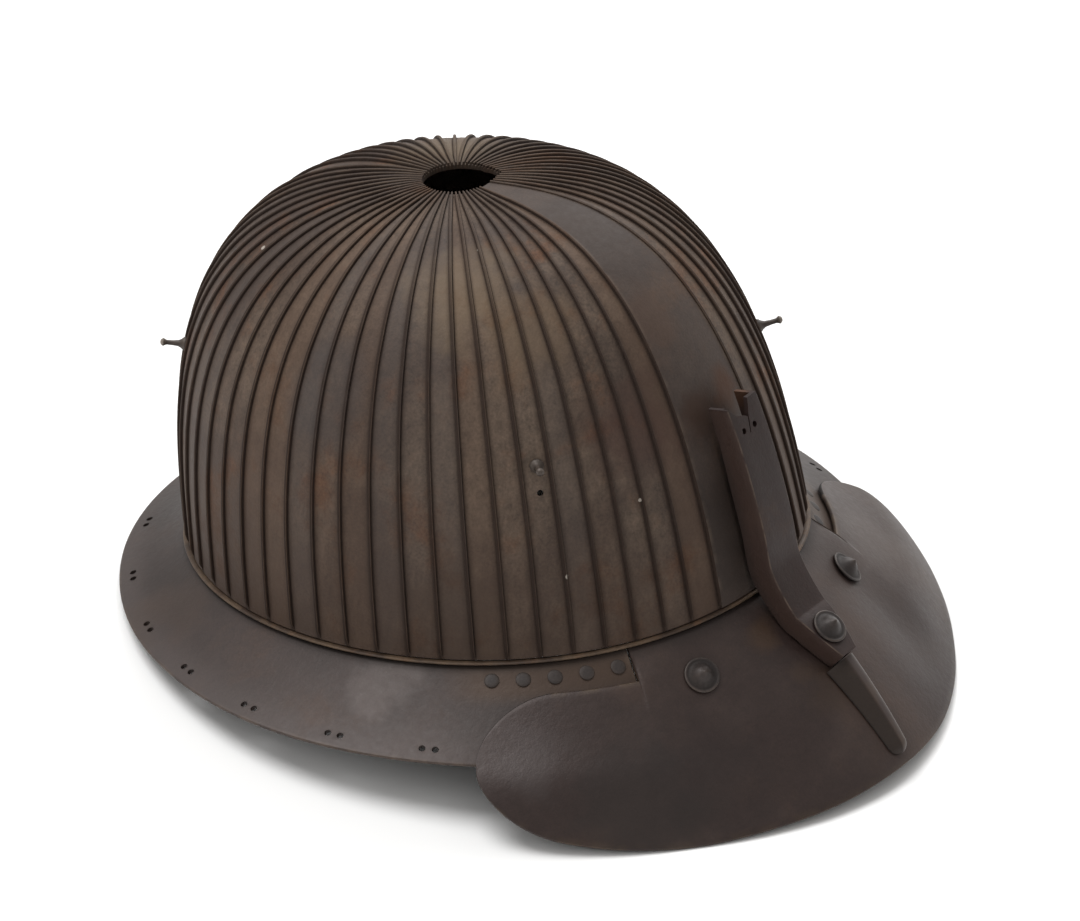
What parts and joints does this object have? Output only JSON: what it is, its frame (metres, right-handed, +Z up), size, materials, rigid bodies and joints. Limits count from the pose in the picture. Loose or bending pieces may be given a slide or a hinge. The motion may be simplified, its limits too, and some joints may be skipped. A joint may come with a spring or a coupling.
{
  "type": "samurai helmet bowl with peak and neck plate",
  "caption": "Ribbed iron helmet bowl with a crown hole, a riveted peak with swept-back wings, a crest holder over the brow and a flared neck plate, standing on its own edges.",
  "frame": {"origin": "middle of the bounding box's foot, on the surface that the helmet rests on", "axes": "+Z up, -Y towards the front of the helmet, +X towards the wearer's left"},
  "size_m": [0.268, 0.3044, 0.166],
  "materials": {
    "bowl_iron": "russet iron, brown with ochre and red rust",
    "front_iron": "smooth russet iron, purple-brown",
    "rim_iron": "worn russet iron, brighter on its edge",
    "neck_iron": "satin dark iron, grey-brown",
    "peak_iron": "satin dark iron with soft lighter patches",
    "holder_iron": "dark iron, rusty on its sides and in its torn top",
    "rivet_iron": "dark iron, worn on the ring and the point",
    "pin_iron": "dark rusty iron"
  },
  "bodies": {
    "root": {"front_plate": "front_iron", "back_plate": "bowl_iron", "plates_right_1": "bowl_iron", "plates_right_2": "bowl_iron", "plates_right_3": "bowl_iron", "plates_right_4": "bowl_iron", "plates_right_5": "bowl_iron", "plates_right_6": "bowl_iron", "plates_right_7": "bowl_iron", "plates_right_8": "bowl_iron", "plates_right_9": "bowl_iron", "plates_right_10": "bowl_iron", "plates_right_11": "bowl_iron", "plates_right_12": "bowl_iron", "plates_right_13": "bowl_iron", "plates_left_1": "bowl_iron", "plates_left_2": "bowl_iron", "plates_left_3": "bowl_iron", "plates_left_4": "bowl_iron", "plates_left_5": "bowl_iron", "plates_left_6": "bowl_iron", "plates_left_7": "bowl_iron", "plates_left_8": "bowl_iron", "plates_left_9": "bowl_iron", "plates_left_10": "bowl_iron", "plates_left_11": "bowl_iron", "plates_left_12": "bowl_iron", "plates_left_13": "bowl_iron", "bowl_rim": "rim_iron", "neck_plate": "neck_iron", "peak": "peak_iron", "crest_holder": "holder_iron", "peak_ridge": "peak_iron", "peak_rivet_right": "rivet_iron", "peak_rivet_left": "rivet_iron", "peak_rivet_centre": "rivet_iron", "strip_rivet_right_1": "rivet_iron", "strip_rivet_right_2": "rivet_iron", "strip_rivet_right_3": "rivet_iron", "strip_rivet_right_4": "rivet_iron", "strip_rivet_right_5": "rivet_iron", "strip_rivet_left_1": "rivet_iron", "strip_rivet_left_2": "rivet_iron", "strip_rivet_left_3": "rivet_iron", "strip_rivet_left_4": "rivet_iron", "strip_rivet_left_5": "rivet_iron", "pin_front_right": "pin_iron", "pin_front_left": "pin_iron", "pin_back_right": "pin_iron", "pin_back_left": "pin_iron"}
  },
  "joints": []
}
